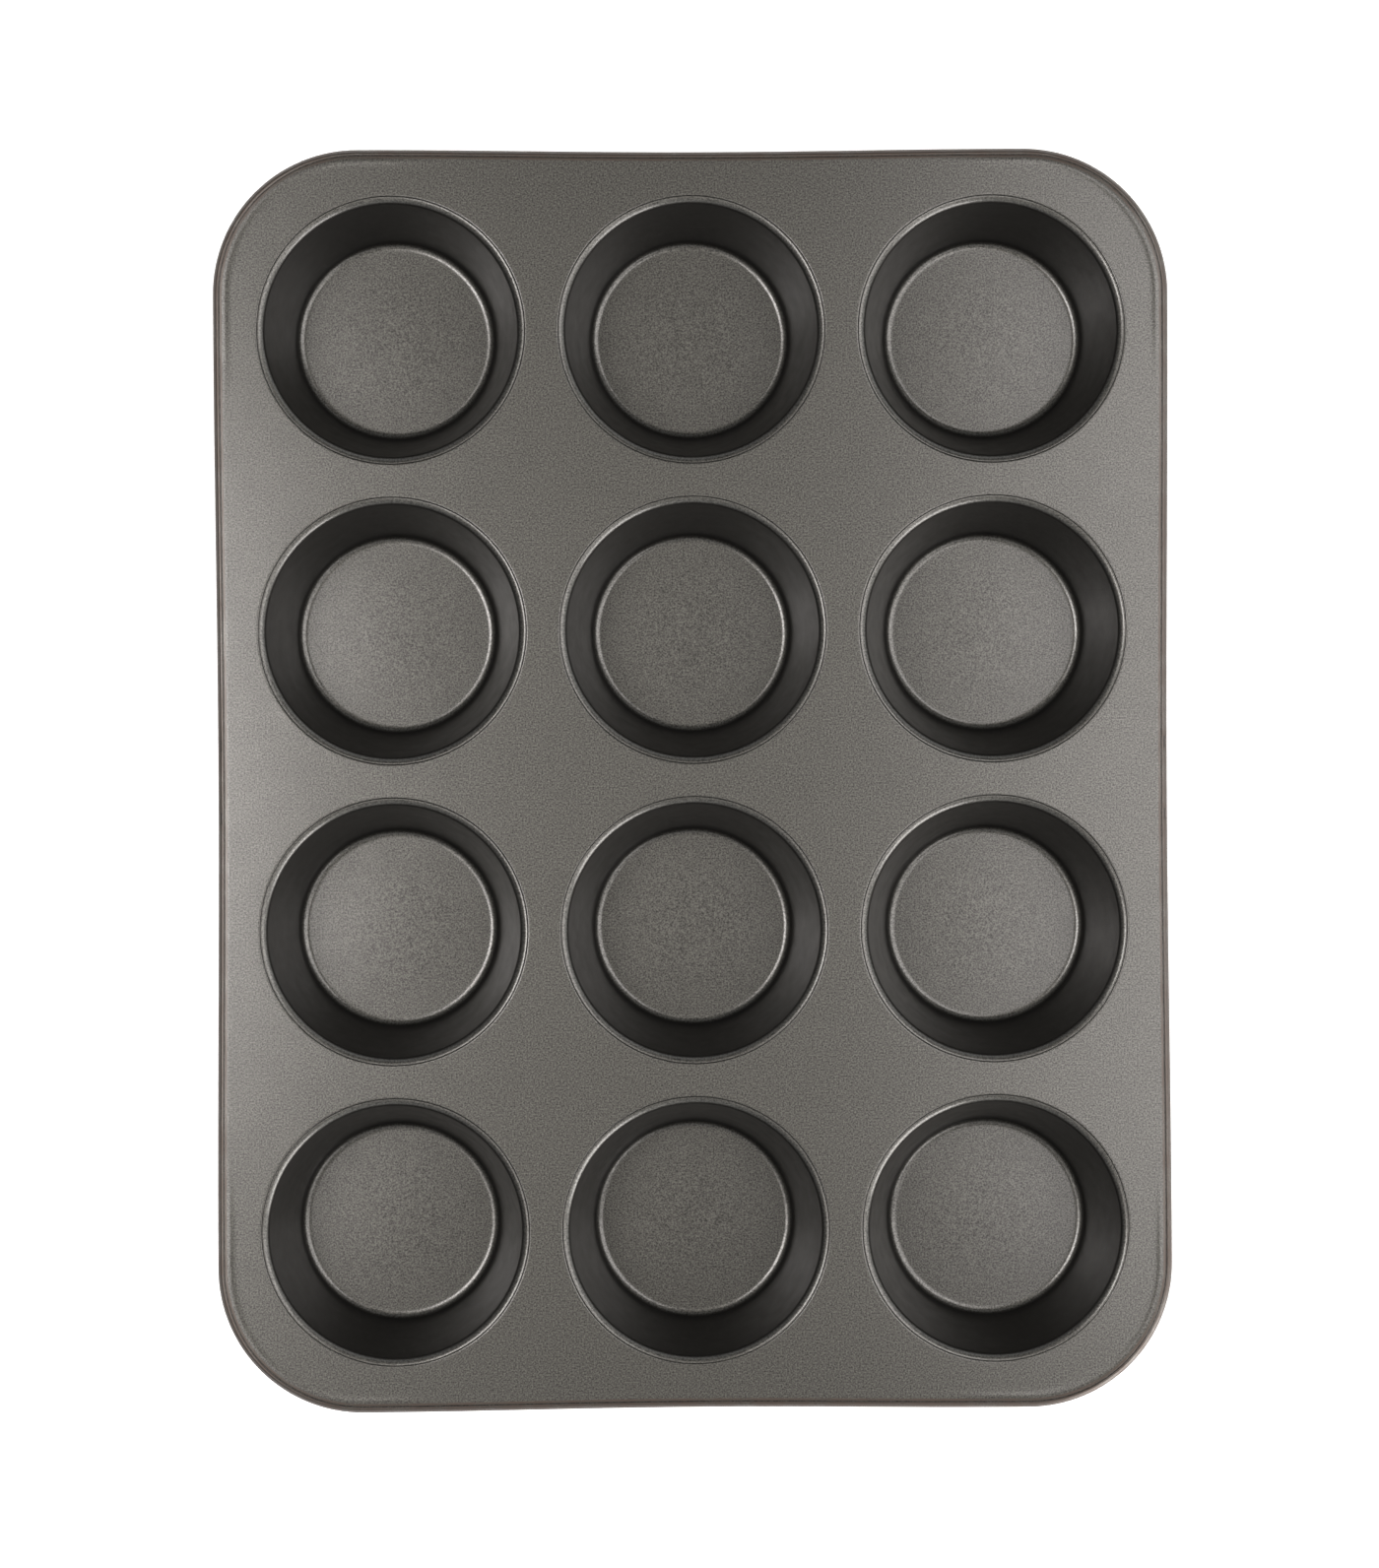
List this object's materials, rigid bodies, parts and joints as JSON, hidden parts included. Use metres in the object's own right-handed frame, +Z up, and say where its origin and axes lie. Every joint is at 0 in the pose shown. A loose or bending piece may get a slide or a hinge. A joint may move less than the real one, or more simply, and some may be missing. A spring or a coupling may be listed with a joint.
{
  "type": "muffin tin",
  "caption": "Rectangular muffin tin with rounded corners: a flat sheet plate with a wired, curled edge and rows of tapered round cups seated in undercut holes.",
  "frame": {"origin": "under the centre of the plate, on the plane that the cup floors stand on", "axes": "+Z up out of the cups' mouths, +Y along the long side, +X across the short side"},
  "size_m": [0.265, 0.35, 0.0301],
  "materials": {
    "top_plate": "dark warm-grey non-stick coating with a fine sparkling grain, satin",
    "cup": "dark warm-grey non-stick coating, grained on the floor and smoother on the drawn wall, satin",
    "rim_wire": "bare drawn steel wire"
  },
  "bodies": {
    "root": {"top_plate": "top_plate", "rim_wire": "rim_wire", "cup_r1c1": "cup", "cup_r1c2": "cup", "cup_r1c3": "cup", "cup_r2c1": "cup", "cup_r2c2": "cup", "cup_r2c3": "cup", "cup_r3c1": "cup", "cup_r3c2": "cup", "cup_r3c3": "cup", "cup_r4c1": "cup", "cup_r4c2": "cup", "cup_r4c3": "cup"}
  },
  "joints": []
}
